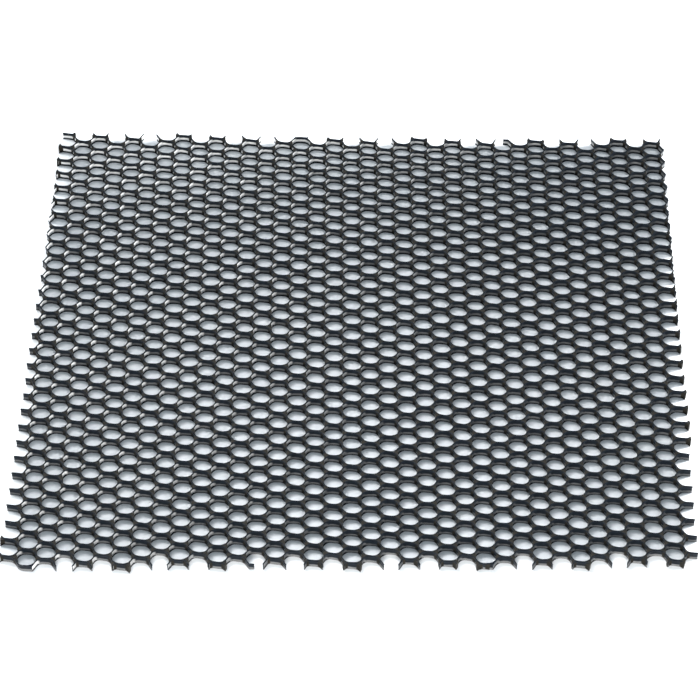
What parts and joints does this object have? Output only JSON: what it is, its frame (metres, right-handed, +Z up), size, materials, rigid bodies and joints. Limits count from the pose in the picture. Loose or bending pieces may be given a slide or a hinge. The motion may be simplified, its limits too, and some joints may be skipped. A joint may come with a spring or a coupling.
{
  "type": "honeycomb grid",
  "caption": "Thin bare sheet of black aluminium foil honeycomb, cut to a rectangle, that narrows the spread of a studio light set behind it.",
  "frame": {"origin": "centre of the sheet's underside: the middle of the bounding box, on the plane the sheet lies on", "axes": "+X along the foil ribbons from left to right, +Y from the front edge to the back edge, +Z up through the cells, along the light"},
  "size_m": [0.2026, 0.1848, 0.0025],
  "materials": {
    "coated_foil": "aluminium foil with a thin black semi-gloss coating",
    "adhesive": "cured amber-brown node adhesive"
  },
  "bodies": {
    "root": {"front_corner_ribbons": "coated_foil", "ribbon_05": "coated_foil", "ribbon_06": "coated_foil", "ribbon_07": "coated_foil", "ribbon_08": "coated_foil", "ribbon_09": "coated_foil", "ribbon_10": "coated_foil", "ribbon_11": "coated_foil", "ribbon_12": "coated_foil", "ribbon_13": "coated_foil", "ribbon_14": "coated_foil", "ribbon_15": "coated_foil", "ribbon_16": "coated_foil", "ribbon_17": "coated_foil", "ribbon_18": "coated_foil", "ribbon_19": "coated_foil", "ribbon_20": "coated_foil", "ribbon_21": "coated_foil", "ribbon_22": "coated_foil", "ribbon_23": "coated_foil", "ribbon_24": "coated_foil", "ribbon_25": "coated_foil", "ribbon_26": "coated_foil", "ribbon_27": "coated_foil", "ribbon_28": "coated_foil", "ribbon_29": "coated_foil", "ribbon_30": "coated_foil", "ribbon_31": "coated_foil", "ribbon_32": "coated_foil", "ribbon_33": "coated_foil", "ribbon_34": "coated_foil", "ribbon_35": "coated_foil", "ribbon_36": "coated_foil", "ribbon_37": "coated_foil", "ribbon_38": "coated_foil", "ribbon_39": "coated_foil", "ribbon_40": "coated_foil", "ribbon_41": "coated_foil", "ribbon_42": "coated_foil", "ribbon_43": "coated_foil", "ribbon_44": "coated_foil", "ribbon_45": "coated_foil", "ribbon_46": "coated_foil", "ribbon_47": "coated_foil", "ribbon_48": "coated_foil", "ribbon_49": "coated_foil", "ribbon_50": "coated_foil", "ribbon_51": "coated_foil", "ribbon_52": "coated_foil", "ribbon_53": "coated_foil", "ribbon_54": "coated_foil", "ribbon_55": "coated_foil", "ribbon_56": "coated_foil", "ribbon_57": "coated_foil", "ribbon_58": "coated_foil", "ribbon_59": "coated_foil", "back_corner_ribbons": "coated_foil", "front_glue_bonds": "adhesive", "middle_glue_bonds": "adhesive", "back_glue_bonds": "adhesive"}
  },
  "joints": []
}
